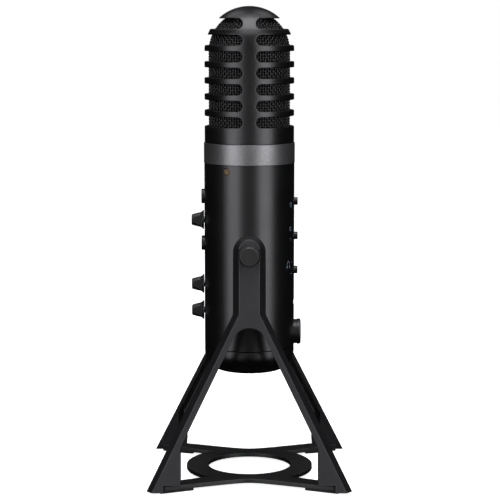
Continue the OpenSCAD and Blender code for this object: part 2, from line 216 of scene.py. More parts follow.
class SharedEffects:
    """Node groups that several finishes use, each built once."""

    def __init__(self) -> None:
        """Builds every group."""
        self.grain = self.build_grain()
        self.wear_and_edge_highlight = self.build_wear_and_highlight()
        self.dust = self.build_dust()
        self.turning = self.build_turning()

    @staticmethod
    def build_grain() -> bpy.types.NodeTree:
        """Fine powder or cast grain with a slow drift of tone.

        Returns:
            The group.
        """
        group, lay, source, result = new_group(
            "fine_grain", {"Place": None, "Scale": 2500.0, "Drift": 60.0}, ("Height", "Tone", "Drift")
        )
        fine = lay.noise(source["Place"], source["Scale"], 2.0, 0.6)
        coarse = lay.noise(source["Place"], lay.maths("MULTIPLY", source["Scale"], 0.37), 1.0, 0.5)
        height = lay.maths("ADD", lay.maths("MULTIPLY", fine, 0.7), lay.maths("MULTIPLY", coarse, 0.3))
        lay.link(height, result["Height"])
        lay.link(lay.spread(height, 0.36, 0.64, 0.0, 1.0), result["Tone"])
        drift = lay.noise(source["Place"], source["Drift"], 3.0, 0.5)
        lay.link(lay.spread(drift, 0.3, 0.7, 0.0, 1.0), result["Drift"])
        return group

    @staticmethod
    def build_wear_and_highlight() -> bpy.types.NodeTree:
        """Mask of rubbed edges, from the turn of the surface within a small radius; it also places the plate's painted
        highlight along its rolled edges.

        Returns:
            The group.
        """
        group, lay, source, result = new_group("edge_wear_and_painted_highlight", {"Place": None, "Breakup": 400.0}, ("Mask",))
        soft = lay.add("ShaderNodeBevel", samples=4)
        soft.inputs["Radius"].default_value = 0.0006
        flat = lay.add("ShaderNodeNewGeometry")
        dot = lay.add("ShaderNodeVectorMath", operation="DOT_PRODUCT")
        lay.link(soft.outputs[0], dot.inputs[0])
        lay.link(flat.outputs["Normal"], dot.inputs[1])
        turn = lay.spread(dot.outputs["Value"], 0.995, 0.86, 0.0, 1.0)
        broken = lay.spread(lay.noise(source["Place"], source["Breakup"], 3.0, 0.6), 0.35, 0.6, 0.25, 1.0)
        lay.link(lay.maths("MULTIPLY", turn, broken, True), result["Mask"])
        return group

    @staticmethod
    def build_dust() -> bpy.types.NodeTree:
        """Mask of fine dust on faces that look up.

        Returns:
            The group.
        """
        group, lay, source, result = new_group("settled_dust", {"Place": None, "Scale": 900.0}, ("Mask",))
        normal = lay.add("ShaderNodeNewGeometry")
        parts = lay.add("ShaderNodeSeparateXYZ")
        lay.link(normal.outputs["Normal"], parts.inputs[0])
        upward = lay.spread(parts.outputs["Z"], 0.35, 1.0, 0.0, 1.0)
        specks = lay.spread(lay.noise(source["Place"], source["Scale"], 4.0, 0.7), 0.42, 0.72, 0.0, 1.0)
        lay.link(lay.maths("MULTIPLY", upward, specks, True), result["Mask"])
        return group

    @staticmethod
    def build_turning() -> bpy.types.NodeTree:
        """Fine lines left by a lathe, round the upright axis.

        Returns:
            The group.
        """
        group, lay, source, result = new_group("turning_lines", {"Place": None, "Lines": 5200.0}, ("Height",))
        squeeze = lay.add("ShaderNodeVectorMath", operation="MULTIPLY")
        lay.link(source["Place"], squeeze.inputs[0])
        squeeze.inputs[1].default_value = (0.012, 0.012, 1.0)
        lay.link(lay.noise(squeeze.outputs[0], source["Lines"], 2.0, 0.6), result["Height"])
        return group


EFFECTS = SharedEffects()


# ---------------------------------------------------------------- finishes


def shade(level: float) -> tuple[float, float, float, float]:
    """Makes a neutral colour.

    Args:
        level: Its linear level.

    Returns:
        The colour, opaque.
    """
    return (level, level, level, 1.0)


def tint(red: float, green: float, blue: float) -> tuple[float, float, float, float]:
    """Makes a colour.

    Args:
        red: Linear red.
        green: Linear green.
        blue: Linear blue.

    Returns:
        The colour, opaque.
    """
    return (red, green, blue, 1.0)


LINT_COLOUR = tint(0.3, 0.29, 0.27)
COAT_ROUGHNESS = 0.2


@dataclass(frozen=True)
class Finish:
    """One real surface finish, and how its material is wired.

    Lengths of grain and dents are millimetres, and colours are linear.
    """

    name: str
    slot: str
    colour: tuple[float, float, float, float]
    second: tuple[float, float, float, float]
    roughness: float
    metallic: float = 0.0
    specular: float = 0.5
    grain_scale: float = 2500.0
    grain_depth: float = 0.01
    rough_swing: float = 0.06
    # The edge amount and edge colour below lighten the edges: rubbed wear, and on the plate mostly a painted highlight.
    wear_and_edge_highlight: float = 0.0
    worn_and_highlit_edge: tuple[float, float, float, float] = (0.1, 0.1, 0.1, 1.0)
    dust: float = 0.0
    turned_depth: float = 0.0
    coat: float = 0.0
    glow: float = 0.0

    def material(self) -> bpy.types.Material:
        """Gives the material, made on first use.

        Returns:
            The procedural material.
        """
        found = bpy.data.materials.get(self.name)
        return found if found else self.wire()

    def wire(self) -> bpy.types.Material:
        """Builds the nodes of the material.

        Returns:
            The new material.
        """
        material = bpy.data.materials.new(self.name)
        material.use_nodes = True
        lay = NodeLayout(material.node_tree)
        shader = material.node_tree.nodes["Principled BSDF"]
        place = lay.add("ShaderNodeTexCoord").outputs["Object"]
        grain = self.place_group(lay, EFFECTS.grain, place, {"Scale": self.grain_scale})
        colour = self.blend(lay, grain.outputs["Tone"], self.colour, self.second)
        rough = lay.spread(
            grain.outputs["Drift"], 0.0, 1.0, self.roughness - self.rough_swing, self.roughness + self.rough_swing
        )
        # Edge colour: rubbed wear, and on the plate mostly a painted highlight along the rolled edges.
        if self.wear_and_edge_highlight:
            worn_and_highlit_edge = self.place_group(lay, EFFECTS.wear_and_edge_highlight, place, {}).outputs["Mask"]
            share = lay.maths("MULTIPLY", worn_and_highlit_edge, self.wear_and_edge_highlight)
            colour = self.blend(lay, share, colour, self.worn_and_highlit_edge)
            rough = lay.maths("SUBTRACT", rough, lay.maths("MULTIPLY", share, 0.1), True)
        if self.dust:
            lint = self.place_group(lay, EFFECTS.dust, place, {}).outputs["Mask"]
            share = lay.maths("MULTIPLY", lint, self.dust)
            colour = self.blend(lay, share, colour, LINT_COLOUR)
            rough = lay.maths("ADD", rough, lay.maths("MULTIPLY", share, 0.5), True)
        lay.link(colour, shader.inputs["Base Color"])
        lay.link(rough, shader.inputs["Roughness"])
        bump = lay.add("ShaderNodeBump")
        bump.inputs["Distance"].default_value = max(self.grain_depth, self.turned_depth) * MM
        if self.turned_depth:
            lines = self.place_group(lay, EFFECTS.turning, place, {}).outputs["Height"]
            lay.link(lines, bump.inputs["Height"])
        else:
            lay.link(grain.outputs["Height"], bump.inputs["Height"])
        lay.link(bump.outputs["Normal"], shader.inputs["Normal"])
        shader.inputs["Metallic"].default_value = self.metallic
        shader.inputs["Specular IOR Level"].default_value = self.specular
        shader.inputs["Coat Weight"].default_value = self.coat
        shader.inputs["Coat Roughness"].default_value = COAT_ROUGHNESS
        if self.glow:
            shader.inputs["Emission Color"].default_value = self.colour
            shader.inputs["Emission Strength"].default_value = self.glow
        return material

    @staticmethod
    def place_group(
        lay: NodeLayout, group: bpy.types.NodeTree, place: bpy.types.NodeSocket, values: dict[str, float]
    ) -> bpy.types.Node:
        """Puts a shared group in the material.

        Args:
            lay: Layout of the material's tree.
            group: The shared group.
            place: Socket with the surface's place.
            values: The group's numbers in this material.

        Returns:
            The group's node.
        """
        node = lay.add("ShaderNodeGroup", node_tree=group)
        lay.link(place, node.inputs["Place"])
        for label, value in values.items():
            node.inputs[label].default_value = value
        return node

    @staticmethod
    def blend(lay: NodeLayout, share: object, first: object, second: object) -> bpy.types.NodeSocket:
        """Mixes two colours.

        Args:
            lay: Layout of the material's tree.
            share: Socket with the second colour's share.
            first: First colour or socket.
            second: Second colour or socket.

        Returns:
            The mixed colour's socket.
        """
        node = lay.add("ShaderNodeMix", data_type="RGBA")
        lay.put(share, node.inputs["Factor"])
        lay.put(first, node.inputs["A"])
        lay.put(second, node.inputs["B"])
        return node.outputs["Result"]


SATIN_BODY = Finish(
    "satin_black_lacquer", "satin_black", shade(0.0018), shade(0.0026), 0.345, specular=0.5,
    grain_scale=3200, grain_depth=0.003, rough_swing=0.02, dust=0.01,
)
GRILLE_PAINT = Finish(
    "satin_black_grille", "satin_black", shade(0.0019), shade(0.0028), 0.345, grain_scale=2600, grain_depth=0.004,
    rough_swing=0.03, wear_and_edge_highlight=0.15, worn_and_highlit_edge=shade(0.02), dust=0.015,
)
BAND_METAL = Finish(
    "satin_grey_band", "satin_band", shade(0.145), shade(0.195), 0.45, metallic=0.9, grain_scale=1900,
    grain_depth=0.02, rough_swing=0.03,
)
CAST_PAINT = Finish(
    "fine_texture_cast_arm", "cast_arm", tint(0.0042, 0.0039, 0.0045), tint(0.0072, 0.0068, 0.0076), 0.46, specular=0.6,
    grain_scale=1500, grain_depth=0.03, rough_swing=0.04, wear_and_edge_highlight=0.25, worn_and_highlit_edge=shade(0.03), dust=0.02,
)
# Its lighter edge colour is mostly a painted highlight along the plate's rolled edges, and partly rubbed wear.
PLATE_PAINT = Finish(
    "coated_steel_plate", "coated_steel", shade(0.003), shade(0.005), 0.52, grain_scale=1700, grain_depth=0.02,
    rough_swing=0.04, wear_and_edge_highlight=0.6, worn_and_highlit_edge=shade(0.06), dust=0.015,
)
PAD_RUBBER = Finish(
    "foot_rubber", "pad_rubber", shade(0.008), shade(0.013), 0.85, grain_scale=2000, grain_depth=0.03
)
STEEL_SCREW = Finish(
    "bright_screw_steel", "bright_screw", shade(0.42), shade(0.5), 0.3, metallic=1.0, grain_depth=0.006,
    wear_and_edge_highlight=0.3, worn_and_highlit_edge=shade(0.7),
)
WASHER_PLASTIC = Finish(
    "washer_nylon_black", "washer_nylon", shade(0.012), shade(0.018), 0.5, grain_depth=0.01
)
MESH_WIRE = Finish(
    "mesh_wire_dark", "mesh_wire", shade(0.004), shade(0.008), 0.24, metallic=0.0, grain_scale=1200,
    grain_depth=0.004, rough_swing=0.05,
)
FOAM = Finish(
    "acoustic_foam_black", "acoustic_foam", shade(0.003), shade(0.010), 0.95, specular=0.2, grain_scale=1400,
    grain_depth=0.3,
)
BRASS = Finish(
    "capsule_brass_plain", "capsule_brass", tint(0.55, 0.36, 0.13), tint(0.62, 0.42, 0.17), 0.3, metallic=1.0,
    turned_depth=0.02,
)
MOULDED = Finish(
    "moulded_black_plastic", "black_plastic", shade(0.014), shade(0.02), 0.5, grain_scale=1800, grain_depth=0.02
)
CHASSIS = Finish(
    "chassis_zinc_steel", "chassis_steel", shade(0.32), shade(0.4), 0.4, metallic=1.0, grain_scale=700,
    grain_depth=0.02,
)
BOARD = Finish(
    "circuit_board_green", "circuit_board", tint(0.01, 0.09, 0.04), tint(0.015, 0.12, 0.055), 0.35, coat=0.4,
    grain_scale=1300, grain_depth=0.01,
)
SOCKET = Finish(
    "socket_black_plastic", "socket_black", shade(0.004), shade(0.006), 0.38, grain_scale=2400, grain_depth=0.008,
    wear_and_edge_highlight=0.2, worn_and_highlit_edge=shade(0.03),
)
USB_SHELL = Finish(
    "usb_shell_plated", "socket_shell", shade(0.5), shade(0.56), 0.24, metallic=1.0, grain_depth=0.004
)
BRONZE = Finish(
    "bronze_screw_head", "bronze_screw", tint(0.10, 0.072, 0.040), tint(0.14, 0.10, 0.055), 0.45, metallic=1.0,
    wear_and_edge_highlight=0.2, worn_and_highlit_edge=tint(0.26, 0.20, 0.12), turned_depth=0.008,
)
LIGHT = Finish(
    "light_pipe_clear", "light_pipe", tint(0.55, 0.75, 0.85), tint(0.6, 0.8, 0.9), 0.25, grain_depth=0.002,
    coat=0.3, glow=0.25,
)
CLAMP = Finish(
    "knurled_black_metal", "knurled_black", shade(0.011), shade(0.016), 0.42, metallic=0.2, grain_scale=2600,
    grain_depth=0.01, wear_and_edge_highlight=0.5, worn_and_highlit_edge=shade(0.10), dust=0.03,
)
KNOB = Finish(
    "knob_black_soft", "knob_black", shade(0.0028), shade(0.0045), 0.38, grain_scale=2400, grain_depth=0.012,
    wear_and_edge_highlight=0.25, worn_and_highlit_edge=shade(0.04), dust=0.03,
)
BUTTON = Finish(
    "button_black_satin", "button_black", shade(0.006), shade(0.009), 0.42, grain_scale=2600, grain_depth=0.01,
    wear_and_edge_highlight=0.25, worn_and_highlit_edge=shade(0.05),
)
PRINT = Finish(
    "printed_marks_grey", "satin_black", tint(0.11, 0.16, 0.21), tint(0.14, 0.20, 0.26), 0.5, grain_depth=0.004
)


# ---------------------------------------------------------------- making pieces


def settle(
    obj: bpy.types.Object, finish: Finish, body: str, replaced: Sequence[str] = ()
) -> bpy.types.Object:
    """Dresses a new piece, makes it ride and hides the CAD nodes that it replaces.

    Args:
        obj: The piece, in place.
        finish: Its finish.
        body: Name of the body that it moves with.
        replaced: CAD nodes that it replaces.

    Returns:
        The same piece.
    """
    obj.data.materials.clear()
    obj.data.materials.append(finish.material())
    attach(obj, body)
    if replaced:
        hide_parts(*replaced)
    LOG.info("%s rides on %s", obj.name, body)
    return obj


def piece_from(name: str, bm: bmesh.types.BMesh) -> bpy.types.Object:
    """Turns mesh data into a smooth-shaded object.

    Args:
        name: Name of the piece.
        bm: Its mesh, which is freed.

    Returns:
        The new object, in the scene.
    """
    for face in bm.faces:
        face.smooth = True
    mesh = bpy.data.meshes.new(name)
    bm.to_mesh(mesh)
    bm.free()
    obj = bpy.data.objects.new(name, mesh)
    bpy.context.scene.collection.objects.link(obj)
    return obj


def join_rings(
    bm: bmesh.types.BMesh, rings: Sequence[Sequence[bmesh.types.BMVert]], closed: bool = False
) -> None:
    """Skins neighbouring rings with quads.

    Args:
        bm: Mesh that the rings are in.
        rings: Rings with equally many vertices, in order.
        closed: Whether the last ring joins the first.
    """
    for low, high in zip(rings, list(rings[1:]) + ([rings[0]] if closed else [])):
        for i in range(len(low)):
            j = (i + 1) % len(low)
            bm.faces.new((low[i], low[j], high[j], high[i]))


def welded_copy(node: str) -> bmesh.types.BMesh:
    """Copies a CAD solid's faces and welds their shared corners.

    Args:
        node: Name of the CAD node.

    Returns:
        The new mesh.
    """
    source = frame["nodes"][node].data
    bm = bmesh.new()
    verts = [bm.verts.new(v.co) for v in source.vertices]
    for polygon in source.polygons:
        bm.faces.new([verts[i] for i in polygon.vertices])
    bmesh.ops.remove_doubles(bm, verts=bm.verts, dist=WELD)
    return bm


def shade_by_area(obj: bpy.types.Object) -> None:
    """Lets the large faces round each corner set its normals.

    Args:
        obj: The piece.
    """
    weighted = obj.modifiers.new("shading", "WEIGHTED_NORMAL")
    weighted.mode = "FACE_AREA"
    weighted.weight = 80


def dress_node(node: str, finish: Finish) -> None:
    """Gives a CAD node that stays as it is its finish.

    Args:
        node: Name of the CAD node.
        finish: Its finish.
    """
    obj = frame["nodes"][node]
    obj.data.materials.clear()
    obj.data.materials.append(finish.material())
    LOG.info("%s keeps its solid", node)


@dataclass(frozen=True)
class Refined:
    """A CAD solid drawn again with clean faces and softened edges. Lengths are millimetres."""

    node: str
    name: str
    finish: Finish
    edge: float = 0.2
    segments: int = 2
    edge_angle: float = 30.0

    def build(self) -> bpy.types.Object:
        """Makes the piece and puts it in the CAD solid's place.

        Returns:
            The new piece.
        """
        bm = welded_copy(self.node)
        bmesh.ops.dissolve_limit(
            bm, angle_limit=FLAT_ANGLE, use_dissolve_boundaries=False, verts=bm.verts, edges=bm.edges
        )
        obj = piece_from(self.name, bm)
        if self.edge:
            soft = obj.modifiers.new("soft_edges", "BEVEL")
            soft.limit_method = "ANGLE"
            soft.angle_limit = math.radians(self.edge_angle)
            soft.width = self.edge * MM
            soft.segments = self.segments
            soft.use_clamp_overlap = False
        shade_by_area(obj)
        return settle(obj, self.finish, frame["nodes"][self.node]["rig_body"], (self.node,))


def lathe(name: str, profile: Sequence[tuple[float, float]], steps: int = 128) -> bpy.types.Object:
    """Turns a closed profile round the upright axis.

    Args:
        name: Name of the piece.
        profile: Radius and height of each point, in millimetres, in order round the section.
        steps: Number of steps round the axis.

    Returns:
        The new object.
    """
    bm = bmesh.new()
    turns = [math.tau * i / steps for i in range(steps)]
    rings = [
        [bm.verts.new(Vector((radius * math.cos(a), radius * math.sin(a), height)) * MM) for a in turns]
        for radius, height in profile
    ]
    join_rings(bm, rings, True)
    bmesh.ops.recalc_face_normals(bm, faces=bm.faces)
    return piece_from(name, bm)


@dataclass(frozen=True)
class CutPlate:
    """A flat plate drawn again from its CAD solid's outlines, with rolled edges. Lengths are millimetres."""

    node: str
    name: str
    finish: Finish
    edge: float = 0.3
    steps: int = 3

    def outlines(self) -> tuple[list[list[Vector]], float, float]:
        """Reads the loops round the solid's top face.

        Returns:
            The loops in order, and the plate's lower and upper height, in metres.
        """
        low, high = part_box(self.node)
        bm = welded_copy(self.node)
        top = {f for f in bm.faces if all(abs(v.co.z - high.z) < WELD for v in f.verts)}
        following = {}
        for face in top:
            for loop in face.loops:
                if sum(1 for f in loop.edge.link_faces if f in top) == 1:
                    following[loop.vert.index] = loop.link_loop_next.vert.index
        bm.verts.ensure_lookup_table()
        loops = []
        while following:
            start, here = next(iter(following.items()))
            course = [start]
            del following[start]
            while here != start:
                course.append(here)
                here = following.pop(here)
            loops.append([bm.verts[i].co.copy() for i in course])
        bm.free()
        return loops, low.z, high.z

    @staticmethod
    def inset(loop: Sequence[Vector], amount: float) -> list[Vector]:
        """Moves a loop into the material on its left.

        Args:
            loop: Corners in order, in metres.
            amount: How far, in metres.

        Returns:
            The moved corners.
        """
        sharpest = 0.4
        moved = []
        for i, here in enumerate(loop):
            before = (here - loop[i - 1]).xy.normalized()
            after = (loop[(i + 1) % len(loop)] - here).xy.normalized()
            across = Vector((-(before.y + after.y), before.x + after.x, 0)).normalized()
            share = max(across.x * -before.y + across.y * before.x, sharpest)
            moved.append(here + across * (amount / share))
        return moved

    def build(self) -> bpy.types.Object:
        """Makes the plate and puts it in the CAD solid's place.

        Returns:
            The new piece.
        """
        loops, low, high = self.outlines()
        size = self.edge * MM
        turns = [math.pi / 2 * i / self.steps for i in range(self.steps + 1)]
        course = [(size * (1 - math.sin(a)), low + size * (1 - math.cos(a))) for a in turns]
        course += [(size * (1 - math.cos(a)), high - size * (1 - math.sin(a))) for a in turns]
        bm = bmesh.new()
        rims: list[list[bmesh.types.BMEdge]] = [[], []]
        for loop in loops:
            rings = [
                [bm.verts.new((p.x, p.y, z)) for p in self.inset(loop, amount)] for amount, z in course
            ]
            join_rings(bm, rings)
            for rim, ring in zip(rims, (rings[0], rings[-1])):
                rim += [bm.edges.get((ring[i], ring[(i + 1) % len(ring)])) for i in range(len(ring))]
        for rim in rims:
            bmesh.ops.triangle_fill(bm, edges=rim, use_beauty=True)
        bmesh.ops.recalc_face_normals(bm, faces=bm.faces)
        obj = piece_from(self.name, bm)
        shade_by_area(obj)
        return settle(obj, self.finish, Body.STAND.value, (self.node,))


# ---------------------------------------------------------------- head


@dataclass
class HeadGrille:
    """The cast head: rings joined by a front and a rear spine, under a round cap. Millimetres."""

    outer_r: float = 28.2
    wall: float = 2.0
    base_z: float = 212.05
    dome_z: float = 269.1
    slot_z: float = 222.55
    slot_h: float = 6.4
    pitch: float = 10.1
    slots: int = 7
    end_x: float = 7.5
    round_out: float = 0.5
    round_in: float = 0.25
    arc_steps: int = 12
    spine_steps: int = 6
    side_steps: int = 48
    rib_steps: int = 2
    cap_steps: int = 12

    def radius(self, z: float, depth: float) -> float:
        """Radius of the wall.

        Args:
            z: Height.
            depth: Depth under the outer surface.

        Returns:
            The radius there.
        """
        reach = self.outer_r - depth
        up = max(z - self.dome_z, 0.0)
        return math.sqrt(max(reach * reach - up * up, 1e-9))

    def point(self, angle: float, z: float, depth: float) -> Vector:
        """Place on the wall.

        Args:
            angle: Angle from the front towards +X.
            z: Height.
            depth: Depth under the outer surface.

        Returns:
            The place, in metres.
        """
        radius = self.radius(z, depth)
        return Vector((radius * math.sin(angle), -radius * math.cos(angle), z)) * MM

    def column_angles(self, edge_x: float, radius: float, sides: bool) -> list[float | None]:
        """Angles of the grid's columns round the head.

        Args:
            edge_x: Half width of the spines at this height.
            radius: Radius that the widths are measured on.
            sides: Whether the ring is whole, with its side columns.

        Returns:
            One angle for each column, or None where a slot has removed it.
        """
        limit = math.asin(min(edge_x / radius, 1.0))
        spine = [
            math.asin(min(edge_x / radius, 1.0) * (2 * i / self.spine_steps - 1))
            for i in range(self.spine_steps + 1)
        ]
        side = [limit + (math.pi - 2 * limit) * i / self.side_steps for i in range(1, self.side_steps)]
        right = side if sides else [None] * len(side)
        return (
            spine
            + right
            + [math.pi - a for a in reversed(spine)]
            + [None if a is None else a + math.pi for a in right]
        )

    def rows(self, spread: float, depth: float) -> list[tuple[float, float, bool]]:
        """Heights of the grid's rows up to the cap.

        Args:
            spread: How much wider than its true outline each slot is drawn.
            depth: Depth under the outer surface.

        Returns:
            Height, half width of the spine, and whether the cell above the row is in a slot.
        """
        half = self.slot_h / 2 + spread
        found = []
        start = self.base_z + (self.round_in if depth == 0 else 0.0)
        for index in range(self.slots):
            middle = self.slot_z + index * self.pitch + self.slot_h / 2
            steps = self.rib_steps * (3 if index == 0 else 1)
            for i in range(steps):
                found.append((start + (middle - half - start) * i / steps, self.end_x, False))
            for k in range(self.arc_steps):
                turn = math.pi * k / self.arc_steps
                found.append((middle - half * math.cos(turn), self.end_x - half * math.sin(turn), True))
            start = middle + half
        found.append((start, self.end_x, False))
        return found

    def add_wall_surface(self, bm: bmesh.types.BMesh, spread: float, depth: float) -> None:
        """Adds the outer or the inner surface, with its openings.

        Args:
            bm: Mesh to add to.
            spread: How much wider than its true outline each slot is drawn.
            depth: Depth under the outer surface.
        """
        rows = self.rows(spread, depth)
        lines: list[list[bmesh.types.BMVert | None]] = []
        solid_below = True
        for z, edge_x, in_slot in rows:
            whole = solid_below or not in_slot
            angles = self.column_angles(edge_x, self.radius(z, depth), whole)
            lines.append([None if a is None else bm.verts.new(self.point(a, z, depth)) for a in angles])
            solid_below = not in_slot
        top_z = rows[-1][0]
        fixed = self.column_angles(self.end_x, self.radius(top_z, depth), True)
        reach = self.outer_r - depth
        start_tilt = math.acos((top_z - self.dome_z) / reach)
        for i in range(1, self.cap_steps):
            tilt = start_tilt * (1 - i / self.cap_steps)
            z = self.dome_z + reach * math.cos(tilt)
            lines.append([bm.verts.new(self.point(a, z, depth)) for a in fixed])
        slot_rows = {i for i, row in enumerate(rows) if row[2]}
        count = len(fixed)
        span = self.spine_steps + 1 + self.side_steps - 1
        spine_cells = set(range(self.spine_steps)) | {span + i for i in range(self.spine_steps)}
        for i, (low, high) in enumerate(zip(lines, lines[1:])):
            for j in range(count):
                if i in slot_rows and j not in spine_cells:
                    continue
                k = (j + 1) % count
                bm.faces.new((low[j], low[k], high[k], high[j]))
        pole = bm.verts.new(Vector((0, 0, self.dome_z + reach)) * MM)
        for j in range(count):
            bm.faces.new((lines[-1][j], lines[-1][(j + 1) % count], pole))

    def slot_ring(self, index: int, side: int, spread: float, depth: float) -> list[Vector]:
        """Outline of one slot, round from its front end to its rear end and back.

        Args:
            index: Which slot, from the bottom.
            side: 1 for +X, -1 for -X.
            spread: How far outside its true outline.
            depth: Depth under the outer surface.

        Returns:
            The outline's points, in metres.
        """
        half = self.slot_h / 2 + spread
        middle = self.slot_z + index * self.pitch + self.slot_h / 2
        arc = []
        for k in range(self.arc_steps + 1):
            turn = math.pi * k / self.arc_steps
            z = middle - half * math.cos(turn)
            arc.append((math.asin((self.end_x - half * math.sin(turn)) / self.radius(z, depth)), z))
        low, high = middle - half, middle + half
        low_limit = math.asin(self.end_x / self.radius(low, depth))
        high_limit = math.asin(self.end_x / self.radius(high, depth))
        shares = [i / self.side_steps for i in range(1, self.side_steps)]
        course = arc + [(high_limit + (math.pi - 2 * high_limit) * s, high) for s in shares]
        course += [(math.pi - a, z) for a, z in reversed(arc)]
        course += [(low_limit + (math.pi - 2 * low_limit) * s, low) for s in reversed(shares)]
        return [self.point(side * a, z, depth) for a, z in course]

    def add_slot_walls(self, bm: bmesh.types.BMesh, index: int, side: int) -> None:
        """Adds the rounded wall of one slot, from the outer surface to the inner one.

        Args:
            bm: Mesh to add to.
            index: Which slot, from the bottom.
            side: 1 for +X, -1 for -X.
        """
        fillet = [math.radians(a) for a in (0, 30, 60, 90)]
        outer = [(self.round_out * (1 - math.sin(a)), self.round_out * (1 - math.cos(a))) for a in fillet]
        inner = [
            (self.round_in * (1 - math.sin(a)), self.wall - self.round_in * (1 - math.cos(a)))
            for a in reversed(fillet)
        ]
        rings = [[bm.verts.new(p) for p in self.slot_ring(index, side, s, d)] for s, d in outer + inner]
        join_rings(bm, rings)

    def add_rim(self, bm: bmesh.types.BMesh) -> None:
        """Closes the head's lower edge, with a small chamfer outside.

        Args:
            bm: Mesh to add to.
        """
        course = [(self.base_z + self.round_in, 0.0), (self.base_z, self.round_in), (self.base_z, self.wall)]
        rings = [
            [bm.verts.new(self.point(a, z, d)) for a in self.column_angles(self.end_x, self.radius(z, d), True)]
            for z, d in course
        ]
        join_rings(bm, rings)

    def build(self) -> None:
        """Builds the head and puts it in its CAD solid's place."""
        bm = bmesh.new()
        self.add_wall_surface(bm, self.round_out, 0.0)
        self.add_wall_surface(bm, self.round_in, self.wall)
        for index in range(self.slots):
            for side in (1, -1):
                self.add_slot_walls(bm, index, side)
        self.add_rim(bm)
        bmesh.ops.remove_doubles(bm, verts=bm.verts, dist=WELD)
        bmesh.ops.recalc_face_normals(bm, faces=bm.faces)
        open_edges = sum(1 for e in bm.edges if not e.is_manifold)
        LOG.info("head grille has %d open edges", open_edges)
        obj = piece_from("grille_casting", bm)
        shade_by_area(obj)
        settle(obj, GRILLE_PAINT, Body.MICROPHONE.value, ("head_grille",))


@dataclass
class WovenBasket:
    """Woven wire cloth pressed to the head's shape, in bands that meet behind the rings. Millimetres."""

    radius: float = 25.2
    wire_r: float = 0.25
    sway: float = 0.25
    pitch: float = 1.72
    low_z: float = 216.4
    dome_z: float = 269.1
    sides: int = 5
    bands: tuple[tuple[float, float], ...] = ((216.7, 270.9), (271.6, 281.1), (281.8, 291.2))

    def on_profile(self, along: float) -> tuple[float, float, float, float]:
        """Place and outward direction on the half section.

        Args:
            along: Distance up the profile from the foot.

        Returns:
            Radius, height, and the direction's radial and upright parts.
        """
        straight = self.dome_z - self.low_z
        if along <= straight:
            return self.radius, self.low_z + along, 1.0, 0.0
        tilt = (along - straight) / self.radius
        return (
            self.radius * math.cos(tilt),
            self.dome_z + self.radius * math.sin(tilt),
            math.cos(tilt),
            math.sin(tilt),
        )

    def along_for(self, z: float) -> float:
        """Distance up the profile to a height.

        Args:
            z: Height.

        Returns:
            The distance from the foot.
        """
        if z <= self.dome_z:
            return z - self.low_z
        return self.dome_z - self.low_z + self.radius * math.asin((z - self.dome_z) / self.radius)

    def add_wire(self, bm: bmesh.types.BMesh, course: Sequence[tuple[Vector, Vector, Vector]], closed: bool) -> None:
        """Adds one round wire.

        Args:
            bm: Mesh to add to.
            course: Centre, outward and sideways directions at each step, in millimetres.
            closed: Whether the wire is a ring.
        """
        turns = [math.tau * k / self.sides for k in range(self.sides)]
        loops = [
            [bm.verts.new((c + (n * math.cos(a) + s * math.sin(a)) * self.wire_r) * MM) for a in turns]
            for c, n, s in course
        ]
        join_rings(bm, loops, closed)
        if not closed:
            bm.faces.new(list(reversed(loops[0])))
            bm.faces.new(loops[-1])

    def add_band(self, bm: bmesh.types.BMesh, start_z: float, stop_z: float) -> None:
        """Weaves one band.

        Args:
            bm: Mesh to add to.
            start_z: Height of its foot.
            stop_z: Height of its top.
        """
        start, stop = self.along_for(start_z), self.along_for(stop_z)
        rings = max(2, round((stop - start) / self.pitch))
        middle_r = self.on_profile((start + stop) / 2)[0]
        wires = 2 * round(math.pi * middle_r / self.pitch)
        step = (stop - start) / rings

        def place(angle: float, along: float, lift: float) -> tuple[Vector, Vector, Vector, Vector]:
            """Finds one crossing of the weave.

            Args:
                angle: Angle from the front towards +X.
                along: Distance up the profile.
                lift: How far it stands out.

            Returns:
                Centre, outward, sideways and upward directions.
            """
            radius, z, out, up = self.on_profile(along)
            side = Vector((math.cos(angle), math.sin(angle), 0))
            outward = Vector((math.sin(angle), -math.cos(angle), 0))
            normal = outward * out + Vector((0, 0, up))
            rise = outward * -up + Vector((0, 0, out))
            return outward * radius + Vector((0, 0, z)) + normal * lift, normal, side, rise

        for i in range(wires):
            course = []
            for j in range(2 * rings + 1):
                lift = 0.0 if j % 2 else self.sway * (1 if (i + j // 2) % 2 else -1)
                centre, normal, side, _ = place(math.tau * i / wires, start + step * j / 2, lift)
                course.append((centre, normal, side))
            self.add_wire(bm, course, False)
        for j in range(rings + 1):
            course = []
            for i in range(2 * wires):
                lift = 0.0 if i % 2 else -self.sway * (1 if (i // 2 + j) % 2 else -1)
                centre, normal, _, rise = place(math.tau * i / (2 * wires), start + step * j, lift)
                course.append((centre, normal, rise))
            self.add_wire(bm, course, True)

    def build(self) -> None:
        """Weaves the bands and replaces the CAD basket."""
        bm = bmesh.new()
        for low, high in self.bands:
            self.add_band(bm, low, high)
        bmesh.ops.recalc_face_normals(bm, faces=bm.faces)
        obj = piece_from("woven_basket", bm)
        settle(obj, MESH_WIRE, Body.MICROPHONE.value, ("mesh_basket",))


